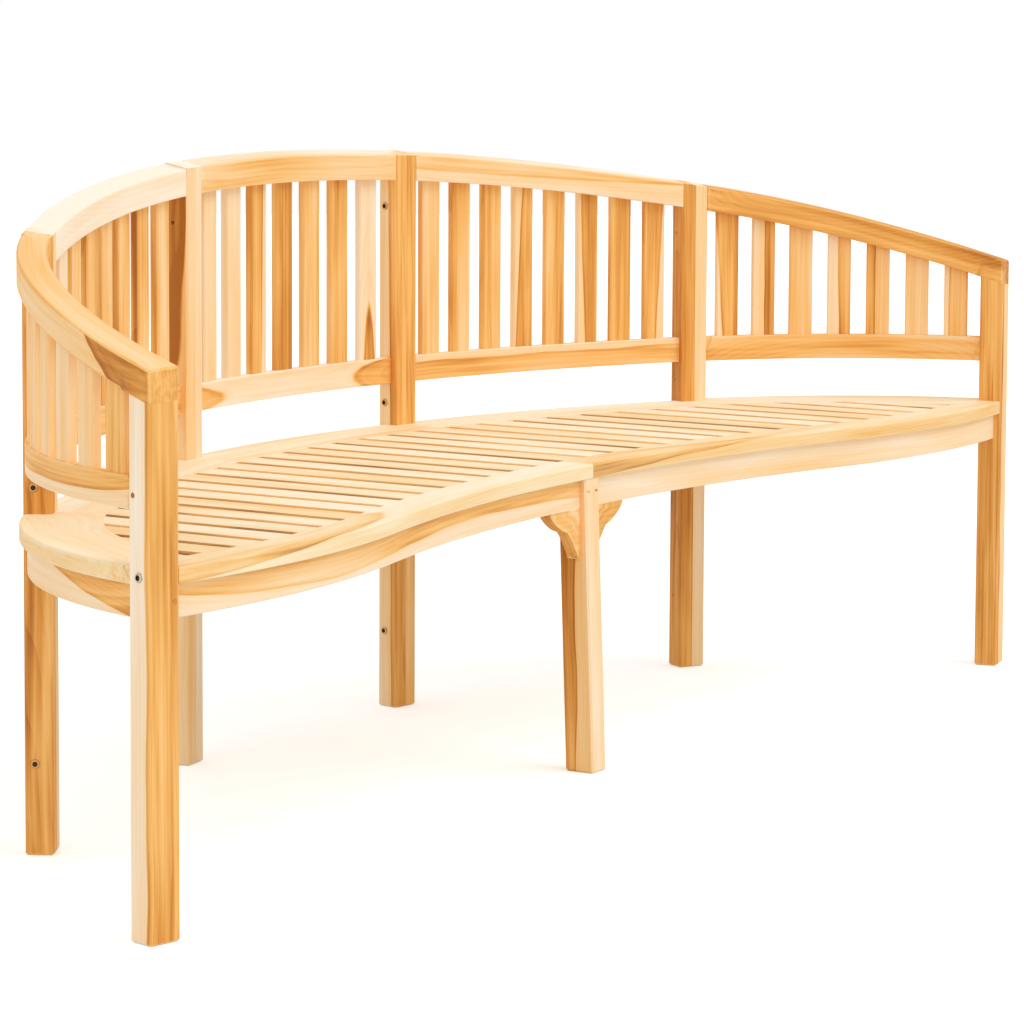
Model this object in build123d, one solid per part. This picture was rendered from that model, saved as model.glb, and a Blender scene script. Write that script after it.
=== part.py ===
from build123d import *
import os
from math import cos, hypot, radians, sin, sqrt

# Plan of the back and the arms, on the centre line of the posts; angles run from the middle outwards
BACK_RADIUS = 1693.5
BACK_Y = 654.6
MIDDLE_POST_ANGLE = 9.24
CORNER_POST_ANGLE = 29.46
ARM_RADIUS = 611.3
ARM_KINK = 0.42
ARM_SWEEP = 48.67

# Plan of the seat's front edge: a hollow arc in the middle running into a bulging arc at each end,
# which meets the front post a little behind its corner
FRONT_SETBACK = 1.0
FRONT_HOLLOW_RADIUS = 2360.0
FRONT_BULGE_RADIUS = 1256.0
FRONT_TURN = 14.97

# Posts and the middle leg
POST_WIDTH = 46.0
POST_DEPTH = 37.0
POST_EASE = 2.5
FOOT_EASE = 3.0
LEG_RAKE = 16.0
LEG_SETBACK = 2.0

# Top rails: height of the crest on the centre line, its crown from end to end and its tilt to the front
CREST_HEIGHT = 864.6
CREST_CROWN_RADIUS = 14000.0
CREST_TILT = 0.2
TOP_RAIL_HEIGHT = 39.0
ARM_END_HEIGHT = 676.2
ARM_CROWN = 7.0
ARM_TILT = 0.06
ARM_FLARE = 4.5

# Lower rails and the slats of the back
LOWER_RAIL_Z = 504.0
LOWER_RAIL_HEIGHT = 40.0
LOWER_RAIL_THICKNESS = 18.0
LOWER_RAIL_INSET = 11.0
BACK_SLAT_WIDTH = 37.0
BACK_SLAT_THICKNESS = 10.0
BACK_SLAT_EASE = 1.5
MIDDLE_SLATS = 7
SIDE_SLATS = 8
ARM_SLATS = 7

# Seat frame and seat slats
SEAT_HEIGHT = 440.0
SEAT_BOARD = 21.0
FRONT_RAIL_WIDTH = 54.0
END_RAIL_WIDTH = 105.0
BACK_RAIL_WIDTH = 97.0
BACK_RAIL_INSET = 12.5
SEAT_SLAT_PITCH = 67.6
SEAT_SLAT_GAP = 11.6
SEAT_SLAT_THICKNESS = 16.0
SEAT_SLAT_LEAST = 20.0

# Aprons, brackets, bearers and the batten under the slats
APRON_HEIGHT = 41.0
APRON_THICKNESS = 18.0
APRON_INSET = 10.0
BRACKET_LENGTH = 80.0
BRACKET_HEIGHT = 72.0
BRACKET_THICKNESS = 18.0
BRACKET_NOSE = 4.0
BRACKET_WAIST_OUT = 34.0
BRACKET_WAIST_DOWN = 31.0
BRACKET_BULGE = 4.0
BRACKET_HOLLOW = 2.0
BATTEN_WIDTH = 40.0
BATTEN_HEIGHT = 22.0
BATTEN_FROM_BACK = 285.0
BATTEN_ANGLE = 29.0
BEARER_WIDTH = 40.0
BEARER_HEIGHT = 22.0
BEARER_X = 500.0

# Joints: tenons, tongues, housings, pegs and screws, with the play left in each
RAIL_TENON = 16.0
RAIL_TENON_THICKNESS = 10.0
RAIL_TENON_HEIGHT = 24.0
BACK_SLAT_TENON = 6.0
ARM_TENON = 18.0
ARM_TENON_WIDTH = 24.0
ARM_TENON_THICKNESS = 14.0
SEAT_TONGUE = 10.0
SEAT_TONGUE_THICKNESS = 7.0
JOINT_PLAY = 0.2
PEG_DIAMETER = 7.0
PEG_LENGTH = 34.0
PEG_ABOVE_TENON = 1.5
PEG_SIDES = 8
PEG_PLAY = 0.1
SCREW_DIAMETER = 6.0
SCREW_HEAD_DIAMETER = 12.0
SCREW_HEAD_HEIGHT = 2.5
SCREW_HEAD_SIDES = 16
SCREW_SHORT = 6.0
SCREW_OFFSET = 5.0
SCREW_LOW_Z = 119.0
SCREW_MIDDLE_Z = 474.0
SCREW_BELOW_RAIL = 42.0
RAIL_SCREW_LENGTH = 80.0

HALF_WIDTH = POST_WIDTH / 2
HALF_DEPTH = POST_DEPTH / 2
REACH = 3000.0
UP = (0, 0, 1)

SEAT_UNDER = SEAT_HEIGHT - SEAT_BOARD
APRON_UNDER = SEAT_UNDER - APRON_HEIGHT
LOWER_RAIL_TOP = LOWER_RAIL_Z + LOWER_RAIL_HEIGHT
LOWER_RAIL_SHIFT = LOWER_RAIL_INSET + LOWER_RAIL_THICKNESS / 2 - HALF_DEPTH
BACK_APRON_SHIFT = HALF_DEPTH - BACK_RAIL_INSET - APRON_THICKNESS / 2
ARM_APRON_SHIFT = HALF_DEPTH - APRON_INSET - APRON_THICKNESS / 2
BATTEN_TOP = SEAT_HEIGHT - SEAT_SLAT_THICKNESS
BEARER_TOP = BATTEN_TOP - BATTEN_HEIGHT


def polar(centre, radius, angle):
    """A point at an angle from the +Y direction, turning towards +X."""
    return (centre[0] + radius * sin(radians(angle)), centre[1] + radius * cos(radians(angle)))


def frame_at(point, angle):
    """A frame on the curve: its x runs along the curve to the right-hand arm, its y points outwards."""
    heading = (cos(radians(angle)), -sin(radians(angle)), 0)
    return Plane(origin=(point[0], point[1], 0), x_dir=heading, z_dir=UP)


BACK_CENTRE = (0.0, BACK_Y - BACK_RADIUS)
CORNER_POINT = polar(BACK_CENTRE, BACK_RADIUS, CORNER_POST_ANGLE)
ARM_START = CORNER_POST_ANGLE + ARM_KINK
ARM_END = ARM_START + ARM_SWEEP
ARM_CENTRE = polar(CORNER_POINT, -ARM_RADIUS, ARM_START)
ARM_POINT = polar(ARM_CENTRE, ARM_RADIUS, ARM_END)

MIDDLE_LEFT = frame_at(polar(BACK_CENTRE, BACK_RADIUS, -MIDDLE_POST_ANGLE), -MIDDLE_POST_ANGLE)
MIDDLE = frame_at(polar(BACK_CENTRE, BACK_RADIUS, MIDDLE_POST_ANGLE), MIDDLE_POST_ANGLE)
CORNER_BACK = frame_at(CORNER_POINT, CORNER_POST_ANGLE)
CORNER_SEAM = frame_at(CORNER_POINT, CORNER_POST_ANGLE + ARM_KINK / 2)
CORNER_ARM = frame_at(CORNER_POINT, ARM_START)
FRONT = frame_at(ARM_POINT, ARM_END)


def block(frame, x, y, z):
    """A box in a frame, each of x, y and z given as a pair of limits."""
    middle = Pos(sum(x) / 2, sum(y) / 2, sum(z) / 2)
    return frame * middle * Box(x[1] - x[0], y[1] - y[0], z[1] - z[0])


def ahead(frame, x):
    return block(frame, (x, x + REACH), (-REACH, REACH), (-REACH, REACH))


def behind(frame, x):
    return block(frame, (x - REACH, x), (-REACH, REACH), (-REACH, REACH))


def within(frame, y):
    return block(frame, (-REACH, REACH), (y - REACH, y), (-REACH, REACH))


def mirrored(shape):
    return mirror(shape, Plane.YZ)


def rod(frame, start, direction, diameter, length, sides=PEG_SIDES):
    """A many-sided rod from a point in a frame, along one of the frame's own directions."""
    origin = frame.from_local_coords(Vector(*start))
    tip = frame.from_local_coords(Vector(*start) + Vector(*direction) * length)
    section = Plane(origin=origin, z_dir=tip - origin) * RegularPolygon(diameter / 2, sides)
    return extrude(section, amount=length, dir=tip - origin)


def bar(centre, inner, outer, start, end, low, high):
    """A flat bar bent on an arc, between two radii, two angles and two heights."""
    outside = CenterArc(centre, outer, 90 - end, end - start)
    inside = CenterArc(centre, inner, 90 - end, end - start)
    plan = make_face([outside, inside, Line(outside @ 0, inside @ 0), Line(outside @ 1, inside @ 1)])
    return Pos(0, 0, low) * extrude(plan, amount=high - low, dir=UP)


FRONT_CORNER = FRONT.from_local_coords(Vector(HALF_DEPTH - FRONT_SETBACK, -HALF_WIDTH, 0))
FRONT_RADII = FRONT_HOLLOW_RADIUS + FRONT_BULGE_RADIUS
BULGE_X = FRONT_RADII * sin(radians(FRONT_TURN))
BULGE_RISE = sqrt(FRONT_BULGE_RADIUS**2 - (FRONT_CORNER.X - BULGE_X) ** 2)
BULGE_CENTRE = (BULGE_X, FRONT_CORNER.Y + BULGE_RISE)
HOLLOW_CENTRE = polar(BULGE_CENTRE, -FRONT_RADII, FRONT_TURN)
FRONT_MIDDLE_Y = HOLLOW_CENTRE[1] + FRONT_HOLLOW_RADIUS


def front_bar(near, far, low, high):
    """The right half of a bar that follows the seat's front edge, between two distances behind it."""
    sides = []
    for offset in (near, far):
        sides.append(CenterArc(HOLLOW_CENTRE, FRONT_HOLLOW_RADIUS + offset, 90 - FRONT_TURN, FRONT_TURN))
        sides.append(CenterArc(BULGE_CENTRE, FRONT_BULGE_RADIUS - offset, 270 - FRONT_TURN, 2 * FRONT_TURN))
    sides.append(Line(sides[0] @ 1, sides[2] @ 1))
    sides.append(Line(sides[1] @ 1, sides[3] @ 1))
    return Pos(0, 0, low) * extrude(make_face(sides), amount=high - low, dir=UP)


def below_arc(arc, plane, width):
    """All that lies under an arc drawn on a plane, to half a width either side of the plane."""
    left = Vector((arc @ 0).X, -2 * CREST_HEIGHT)
    right = Vector((arc @ 1).X, -2 * CREST_HEIGHT)
    outline = make_face([arc, Line(arc @ 0, left), Line(left, right), Line(right, arc @ 1)])
    return extrude(plane.offset(-width / 2) * outline, amount=width, dir=plane.z_dir)


def back_crown(x):
    return sqrt(CREST_CROWN_RADIUS**2 - x**2) - CREST_CROWN_RADIUS


def back_crest(x, y):
    """Height of the crest over a point of the back."""
    return CREST_HEIGHT + back_crown(x) * hypot(1, CREST_TILT) + CREST_TILT * (y - BACK_Y)


def below_back(drop):
    """All that lies below the back's crest, lowered by a drop."""
    plane = Plane(origin=(0, BACK_Y, CREST_HEIGHT - drop), x_dir=(1, 0, 0), z_dir=(0, -1, -CREST_TILT))
    half = BACK_RADIUS * 0.75
    arc = ThreePointArc((-half, back_crown(half)), (0, 0), (half, back_crown(half)))
    return below_arc(arc, plane, BACK_RADIUS)


CHORD = hypot(ARM_POINT[0] - CORNER_POINT[0], ARM_POINT[1] - CORNER_POINT[1])
ALONG_ARM = Vector(ARM_POINT[0] - CORNER_POINT[0], ARM_POINT[1] - CORNER_POINT[1]) / CHORD
OUT_OF_ARM = Vector(-ALONG_ARM.Y, ALONG_ARM.X)
CORNER_HEIGHT = back_crest(*CORNER_POINT)


def arm_fall(run):
    """How the arm's crest falls along its chord, with a slight crown."""
    return (ARM_END_HEIGHT - CORNER_HEIGHT) * run / CHORD + 4 * ARM_CROWN * run * (CHORD - run) / CHORD**2


def arm_crest(x, y):
    """Height of the crest over a point of the arm."""
    offset = Vector(x - CORNER_POINT[0], y - CORNER_POINT[1])
    fall = arm_fall(offset.dot(ALONG_ARM)) * hypot(1, ARM_TILT)
    return CORNER_HEIGHT + fall + ARM_TILT * offset.dot(OUT_OF_ARM)


def below_arm(drop):
    """All that lies below the arm's crest, lowered by a drop."""
    origin = (CORNER_POINT[0], CORNER_POINT[1], CORNER_HEIGHT - drop)
    plane = Plane(origin=origin, x_dir=ALONG_ARM, z_dir=-OUT_OF_ARM - Vector(0, 0, ARM_TILT))
    runs = (-CHORD / 4, CHORD / 2, CHORD * 5 / 4)
    return below_arc(ThreePointArc(*[(run, arm_fall(run)) for run in runs]), plane, CHORD)


def tenon(joint, play):
    """A rail's tenon; its joint is a frame, the post's face, the side the post lies on, y and height."""
    frame, face, side, shift, height = joint
    tip = face + side * (RAIL_TENON + play)
    root = face - side * RAIL_TENON / 2
    half_thickness = RAIL_TENON_THICKNESS / 2 + play
    half_height = RAIL_TENON_HEIGHT / 2 + play
    y = (shift - half_thickness, shift + half_thickness)
    z = (height - half_height, height + half_height)
    return block(frame, (min(tip, root), max(tip, root)), y, z)


def top_joint(frame, face, side, crest):
    at = frame.from_local_coords(Vector(face, 0, 0))
    return (frame, face, side, 0.0, crest(at.X, at.Y) - TOP_RAIL_HEIGHT / 2)


LOWER_Z = LOWER_RAIL_Z + LOWER_RAIL_HEIGHT / 2
APRON_Z = APRON_UNDER + APRON_HEIGHT / 2
FRONT_BACK_FACE = -HALF_DEPTH
PEG_Z = APRON_Z + PEG_ABOVE_TENON

LOWER_JOINTS = {
    "middle": [
        (MIDDLE_LEFT, HALF_WIDTH, -1, LOWER_RAIL_SHIFT, LOWER_Z),
        (MIDDLE, -HALF_WIDTH, 1, LOWER_RAIL_SHIFT, LOWER_Z),
    ],
    "side": [
        (MIDDLE, HALF_WIDTH, -1, LOWER_RAIL_SHIFT, LOWER_Z),
        (CORNER_BACK, -HALF_WIDTH, 1, LOWER_RAIL_SHIFT, LOWER_Z),
    ],
    "arm": [
        (CORNER_ARM, HALF_WIDTH, -1, LOWER_RAIL_SHIFT, LOWER_Z),
        (FRONT, FRONT_BACK_FACE, 1, LOWER_RAIL_SHIFT, LOWER_Z),
    ],
}

TOP_JOINTS = {
    "middle": [
        top_joint(MIDDLE_LEFT, HALF_WIDTH, -1, back_crest),
        top_joint(MIDDLE, -HALF_WIDTH, 1, back_crest),
    ],
    "side": [
        top_joint(MIDDLE, HALF_WIDTH, -1, back_crest),
        top_joint(CORNER_BACK, -HALF_WIDTH, 1, back_crest),
    ],
    "arm": [top_joint(CORNER_ARM, HALF_WIDTH, -1, arm_crest)],
}

APRON_JOINTS = {
    "middle": [
        (MIDDLE_LEFT, HALF_WIDTH, -1, BACK_APRON_SHIFT, APRON_Z),
        (MIDDLE, -HALF_WIDTH, 1, BACK_APRON_SHIFT, APRON_Z),
    ],
    "side": [
        (MIDDLE, HALF_WIDTH, -1, BACK_APRON_SHIFT, APRON_Z),
        (CORNER_BACK, -HALF_WIDTH, 1, BACK_APRON_SHIFT, APRON_Z),
    ],
    "arm": [
        (CORNER_ARM, HALF_WIDTH, -1, ARM_APRON_SHIFT, APRON_Z),
        (FRONT, FRONT_BACK_FACE, 1, ARM_APRON_SHIFT, APRON_Z),
    ],
}


def front_apron_joints():
    """The front apron's tenons, one in the side of the middle leg and one in the side of the front post."""
    offset = APRON_INSET + APRON_THICKNESS / 2
    across = frame_at(ARM_POINT, ARM_END + 90)
    face = FRONT.from_local_coords(Vector(0, -HALF_WIDTH, 0))
    rise = sqrt((FRONT_BULGE_RADIUS - offset) ** 2 - (face.X - BULGE_CENTRE[0]) ** 2)
    entry = across.to_local_coords(Vector(face.X, BULGE_CENTRE[1] - rise, 0))
    return [
        (Plane.XY, HALF_DEPTH, -1, FRONT_MIDDLE_Y + offset, APRON_Z),
        (across, HALF_WIDTH, -1, entry.Y, APRON_Z),
    ]


def all_mortises():
    joints = front_apron_joints()
    for group in (LOWER_JOINTS, TOP_JOINTS, APRON_JOINTS):
        for pair in group.values():
            joints.extend(pair)
    return [tenon(joint, JOINT_PLAY) for joint in joints]


def with_tenons(rail, joints):
    for joint in joints:
        rail = rail + tenon(joint, 0)
    return rail


def back_slat_frames(centre, radius, start, end, first, last, count):
    """Frames of the slats of one section, spaced evenly between the faces of its two posts."""
    first_angle = start + first / radius / radians(1)
    span = radius * radians(end - start) - first - last
    gap = (span - count * BACK_SLAT_WIDTH) / (count + 1)
    frames = []
    for number in range(count):
        run = gap * (number + 1) + BACK_SLAT_WIDTH * (number + 0.5)
        angle = first_angle + run / radius / radians(1)
        frames.append(frame_at(polar(centre, radius, angle), angle))
    return frames


def back_slat(frame, crest, play):
    """One slat of the back, with its ends housed in the rails; with play it is the housing itself."""
    half = BACK_SLAT_WIDTH / 2 + play
    heights = []
    for x in (-half, half):
        at = frame.from_local_coords(Vector(x, LOWER_RAIL_SHIFT, 0))
        heights.append(crest(at.X, at.Y) - TOP_RAIL_HEIGHT)
    low = LOWER_RAIL_TOP - BACK_SLAT_TENON - play
    high = max(heights) + BACK_SLAT_TENON / 2 + play
    thick = BACK_SLAT_THICKNESS / 2 + play
    return block(frame, (-half, half), (LOWER_RAIL_SHIFT - thick, LOWER_RAIL_SHIFT + thick), (low, high))


def eased_slat(frame, crest):
    slat = back_slat(frame, crest, 0)
    return chamfer(slat.edges().filter_by(Axis.Z), BACK_SLAT_EASE)


MIDDLE_SLAT_FRAMES = back_slat_frames(
    BACK_CENTRE, BACK_RADIUS, -MIDDLE_POST_ANGLE, MIDDLE_POST_ANGLE, HALF_WIDTH, HALF_WIDTH, MIDDLE_SLATS
)
SIDE_SLAT_FRAMES = back_slat_frames(
    BACK_CENTRE, BACK_RADIUS, MIDDLE_POST_ANGLE, CORNER_POST_ANGLE, HALF_WIDTH, HALF_WIDTH, SIDE_SLATS
)
ARM_SLAT_FRAMES = back_slat_frames(
    ARM_CENTRE, ARM_RADIUS, ARM_START, ARM_END, HALF_WIDTH, HALF_DEPTH, ARM_SLATS
)


def lower_rail(centre, radius, angles, limits, frames, crest, joints):
    middle = radius + LOWER_RAIL_SHIFT
    half = LOWER_RAIL_THICKNESS / 2
    rail = bar(centre, middle - half, middle + half, *angles, LOWER_RAIL_Z, LOWER_RAIL_TOP)
    rail = rail & ahead(*limits[0]) & behind(*limits[1])
    return with_tenons(rail, joints) - [back_slat(frame, crest, JOINT_PLAY) for frame in frames]


def back_top_rail(angles, limits, frames, joints):
    inner = BACK_RADIUS - HALF_DEPTH
    outer = BACK_RADIUS + HALF_DEPTH
    rail = bar(BACK_CENTRE, inner, outer, *angles, SEAT_HEIGHT, 2 * CREST_HEIGHT)
    rail = rail & ahead(*limits[0]) & behind(*limits[1])
    rail = rail & below_back(0) - below_back(TOP_RAIL_HEIGHT)
    return with_tenons(rail, joints) - [back_slat(frame, back_crest, JOINT_PLAY) for frame in frames]


def arm_top_rail():
    """The arm rail: as wide as the posts at the corner, flaring to the front post it lies on."""
    overrun = HALF_DEPTH / ARM_RADIUS / radians(1) * 2
    edges = []
    for side in (-1, 1):
        at_corner = polar(ARM_CENTRE, ARM_RADIUS + side * HALF_DEPTH, ARM_START)
        wider = HALF_DEPTH + ARM_FLARE / 2
        halfway = polar(ARM_CENTRE, ARM_RADIUS + side * wider, ARM_START + ARM_SWEEP / 2)
        widest = HALF_DEPTH + ARM_FLARE
        at_front = polar(ARM_CENTRE, ARM_RADIUS + side * widest, ARM_END + overrun)
        edges.append(ThreePointArc(at_corner, halfway, at_front))
    ends = [Line(edges[0] @ 0, edges[1] @ 0), Line(edges[0] @ 1, edges[1] @ 1)]
    rail = extrude(make_face(edges + ends), amount=2 * CREST_HEIGHT, dir=UP)
    rail = rail & ahead(CORNER_ARM, HALF_WIDTH) & behind(FRONT, HALF_DEPTH)
    rail = rail & below_arm(0) - below_arm(TOP_RAIL_HEIGHT)
    rail = with_tenons(rail, TOP_JOINTS["arm"]) - arm_tenon(JOINT_PLAY)
    return rail - [back_slat(frame, arm_crest, JOINT_PLAY) for frame in ARM_SLAT_FRAMES]


def arm_tenon(play):
    """The tenon on the front post's top, in the underside of the arm rail."""
    x = ARM_TENON_THICKNESS / 2 + play
    y = ARM_TENON_WIDTH / 2 + play
    under = arm_crest(*ARM_POINT) - TOP_RAIL_HEIGHT
    return block(FRONT, (-x, x), (-y, y), (under - ARM_TENON, under + ARM_TENON + play))


def eased_foot(post):
    return chamfer(post.faces().sort_by(Axis.Z)[0].edges(), FOOT_EASE)


def half_post(frame, seam, side, below, holes):
    """One of the two halves of a back post, cut to the seam between them and to the crest above."""
    x = sorted((-side * HALF_WIDTH / 2, side * HALF_WIDTH))
    stick = block(frame, x, (-HALF_DEPTH, HALF_DEPTH), (0, 2 * CREST_HEIGHT))
    uprights = stick.edges().filter_by(Axis.Z)
    outermost = uprights.sort_by(lambda edge: side * frame.to_local_coords(edge @ 0).X)[-2:]
    stick = chamfer(outermost, POST_EASE)
    stick = stick & (ahead(seam, 0) if side > 0 else behind(seam, 0))
    return eased_foot(stick & below) - all_mortises() - holes


def front_post():
    """The post under the front end of the arm, set square to the arm."""
    stick = block(FRONT, (-HALF_DEPTH, HALF_DEPTH), (-HALF_WIDTH, HALF_WIDTH), (0, CREST_HEIGHT))
    stick = eased_foot(chamfer(stick.edges().filter_by(Axis.Z), POST_EASE))
    stick = stick & below_arm(TOP_RAIL_HEIGHT)
    stick = stick - all_mortises() - side_pegs(PEG_PLAY) - rail_screw_hole()
    return stick + arm_tenon(0)


def raked(outline):
    """An outline at the leg's top drawn down to the ground along the leg's rake."""
    length = hypot(SEAT_UNDER, LEG_RAKE)
    return extrude(Pos(0, 0, SEAT_UNDER) * outline, amount=length, dir=(0, -LEG_RAKE, -SEAT_UNDER))


LEG_FRONT = FRONT_MIDDLE_Y + LEG_SETBACK
LEG_BACK = LEG_FRONT + POST_WIDTH


def middle_leg():
    """The leg under the middle of the front edge; its foot stands forward of its top."""
    outline = Pos(0, (LEG_FRONT + LEG_BACK) / 2) * Rectangle(POST_DEPTH, POST_WIDTH)
    leg = eased_foot(raked(chamfer(outline.vertices(), POST_EASE)))
    mortise = tenon(front_apron_joints()[0], JOINT_PLAY)
    return leg - [mortise, mirrored(mortise)] - leg_pegs(PEG_PLAY)


def leg_pegs(play):
    """Two pegs through the leg's front face into the aprons' tenons."""
    x = HALF_DEPTH - RAIL_TENON / 2
    y = LEG_FRONT - LEG_RAKE * (SEAT_UNDER - PEG_Z) / SEAT_UNDER
    size = PEG_DIAMETER + 2 * play
    return [rod(Plane.XY, (side * x, y, PEG_Z), (0, 1, 0), size, PEG_LENGTH + play) for side in (-1, 1)]


def side_pegs(play):
    """The pegs of a front post: one through the apron's tenon, one through the lower rail's tenon."""
    size = PEG_DIAMETER + 2 * play
    apron_peg = (HALF_DEPTH, RAIL_TENON / 2 - HALF_WIDTH, PEG_Z)
    rail_peg = (RAIL_TENON / 2 - HALF_DEPTH, HALF_WIDTH, LOWER_Z)
    return [
        rod(FRONT, apron_peg, (-1, 0, 0), size, PEG_LENGTH / 2 + play),
        rod(FRONT, rail_peg, (0, -1, 0), size, PEG_LENGTH + play),
    ]


def screw(frame, start, direction, length):
    """A screw driven along a direction from a face, its round head left standing on the face."""
    outwards = -Vector(*direction)
    head = rod(frame, start, outwards, SCREW_HEAD_DIAMETER, SCREW_HEAD_HEIGHT, SCREW_HEAD_SIDES)
    return head + rod(frame, start, direction, SCREW_DIAMETER, length)


RAIL_SCREW_START = (0, HALF_WIDTH, SEAT_HEIGHT - SEAT_BOARD / 2)


def rail_screw():
    """The screw through a front post into the end of the seat's front rail."""
    return screw(FRONT, RAIL_SCREW_START, (0, -1, 0), RAIL_SCREW_LENGTH)


def rail_screw_hole():
    bore = SCREW_DIAMETER + 2 * PEG_PLAY
    return rod(FRONT, RAIL_SCREW_START, (0, -1, 0), bore, RAIL_SCREW_LENGTH + PEG_PLAY)


def link_heights(frame):
    """Heights of the three screws that draw the halves of a back post together."""
    upper = back_crest(frame.origin.X, frame.origin.Y) - TOP_RAIL_HEIGHT - SCREW_BELOW_RAIL
    return (SCREW_LOW_Z, SCREW_MIDDLE_Z, upper)


def link_screws(frame, side):
    """The screws of a back post, their heads on the side of the post that is given."""
    starts = [(side * HALF_WIDTH, SCREW_OFFSET, z) for z in link_heights(frame)]
    return [screw(frame, start, (-side, 0, 0), POST_WIDTH - SCREW_SHORT) for start in starts]


def link_holes(frame):
    starts = [(POST_WIDTH, SCREW_OFFSET, z) for z in link_heights(frame)]
    return [rod(frame, start, (-1, 0, 0), SCREW_DIAMETER + 2 * PEG_PLAY, 2 * POST_WIDTH) for start in starts]


def front_seat_rail(trim):
    """The right-hand front rail of the seat; a trim narrows it from its inner edge."""
    rail = front_bar(0, FRONT_RAIL_WIDTH - trim, SEAT_UNDER, SEAT_HEIGHT)
    return rail & within(FRONT, -HALF_WIDTH) - end_seat_rail(trim)


def end_seat_rail(trim):
    outer = ARM_RADIUS + HALF_DEPTH
    angles = (CORNER_POST_ANGLE, ARM_END)
    rail = bar(ARM_CENTRE, outer - END_RAIL_WIDTH + trim, outer, *angles, SEAT_UNDER, SEAT_HEIGHT)
    rail = rail & ahead(CORNER_SEAM, 0) & behind(FRONT, -HALF_DEPTH)
    return rail - post_space(CORNER_ARM, 1)


def side_seat_rail(trim):
    rail = back_seat_bar((MIDDLE_POST_ANGLE, ARM_START), trim) & behind(CORNER_SEAM, 0)
    return rail - post_space(MIDDLE, 1) - post_space(CORNER_BACK, -1)


def middle_seat_rail(trim):
    rail = back_seat_bar((-MIDDLE_POST_ANGLE, MIDDLE_POST_ANGLE), trim)
    return rail - post_space(MIDDLE_LEFT, 1) - post_space(MIDDLE, -1)


def back_seat_bar(angles, trim):
    outer = BACK_RADIUS + HALF_DEPTH - BACK_RAIL_INSET
    return bar(BACK_CENTRE, outer - BACK_RAIL_WIDTH + trim, outer, *angles, SEAT_UNDER, SEAT_HEIGHT)


def post_space(frame, side):
    """The notch a seat rail needs round one half post."""
    x = sorted((-side * HALF_WIDTH, side * HALF_WIDTH))
    return block(frame, x, (-HALF_DEPTH, HALF_DEPTH), (0, CREST_HEIGHT))


def seat_opening(trim):
    """The right half of the space inside the seat frame, as thick as the frame."""
    plate = block(Plane.XY, (0, REACH / 2), (0, REACH / 3), (SEAT_UNDER, SEAT_HEIGHT))
    for rail in (front_seat_rail(trim), end_seat_rail(trim), side_seat_rail(trim), middle_seat_rail(trim)):
        plate = plate - rail
    inside = Vector(SEAT_SLAT_PITCH, (FRONT_MIDDLE_Y + BACK_Y) / 2, SEAT_HEIGHT - SEAT_BOARD / 2)
    return [solid for solid in plate.solids() if solid.is_inside(inside)][0]


TONGUE_Z = SEAT_HEIGHT - SEAT_SLAT_THICKNESS / 2


def layer(space, middle, thickness):
    """The part of a space within a thickness either side of a height."""
    z = (middle - thickness / 2, middle + thickness / 2)
    return space & block(Plane.XY, (-REACH, REACH), (-REACH, REACH), z)


def seat_slats(opening):
    """The right-hand slats, each tongued at both ends into the groove of the seat frame."""
    boards = layer(opening, SEAT_HEIGHT - SEAT_SLAT_THICKNESS / 2, SEAT_SLAT_THICKNESS)
    boards = boards + layer(seat_opening(SEAT_TONGUE), TONGUE_Z, SEAT_TONGUE_THICKNESS)
    widest = opening.bounding_box().max.X - SEAT_SLAT_GAP / 2 - SEAT_SLAT_LEAST
    slats = []
    for number in range(int(widest / SEAT_SLAT_PITCH) + 1):
        x = (SEAT_SLAT_PITCH * number + SEAT_SLAT_GAP / 2, SEAT_SLAT_PITCH * (number + 1) - SEAT_SLAT_GAP / 2)
        slats.append(boards & block(Plane.XY, x, (-REACH, REACH), (0, SEAT_HEIGHT)))
    return slats


def front_apron():
    rail = front_bar(APRON_INSET, APRON_INSET + APRON_THICKNESS, APRON_UNDER, SEAT_UNDER)
    rail = rail & ahead(Plane.XY, HALF_DEPTH) & within(FRONT, -HALF_WIDTH)
    return with_tenons(rail, front_apron_joints()) - leg_pegs(PEG_PLAY) - side_pegs(PEG_PLAY)


def apron(centre, radius, shift, angles, limits, joints):
    inner = radius + shift - APRON_THICKNESS / 2
    rail = bar(centre, inner, inner + APRON_THICKNESS, *angles, APRON_UNDER, SEAT_UNDER)
    return with_tenons(rail & ahead(*limits[0]) & behind(*limits[1]), joints)


def leg_bracket():
    """The shaped bracket between the middle leg and the right-hand apron, its free edge an ogee."""
    tip = HALF_DEPTH + BRACKET_LENGTH
    low = APRON_UNDER - BRACKET_HEIGHT
    waist = (HALF_DEPTH + BRACKET_WAIST_OUT, APRON_UNDER - BRACKET_WAIST_DOWN)
    upper = SagittaArc((tip, APRON_UNDER - BRACKET_NOSE), waist, BRACKET_BULGE)
    lower = SagittaArc(waist, (HALF_DEPTH + BRACKET_NOSE, low), -BRACKET_HOLLOW)
    corner = (HALF_DEPTH, APRON_UNDER)
    square = Polyline(lower @ 1, (HALF_DEPTH, low), corner, (tip, APRON_UNDER), upper @ 0)
    plane = Plane(origin=(0, FRONT_MIDDLE_Y + APRON_INSET, 0), x_dir=(1, 0, 0), z_dir=(0, -1, 0))
    section = plane * make_face([upper, lower, square])
    return extrude(section, amount=BRACKET_THICKNESS, dir=(0, 1, 0))


def seat_batten():
    """The right half of the batten that carries the slats halfway between front and back."""
    middle = BACK_RADIUS - BATTEN_FROM_BACK
    half = BATTEN_WIDTH / 2
    return bar(BACK_CENTRE, middle - half, middle + half, 0, BATTEN_ANGLE, BEARER_TOP, BATTEN_TOP)


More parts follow.
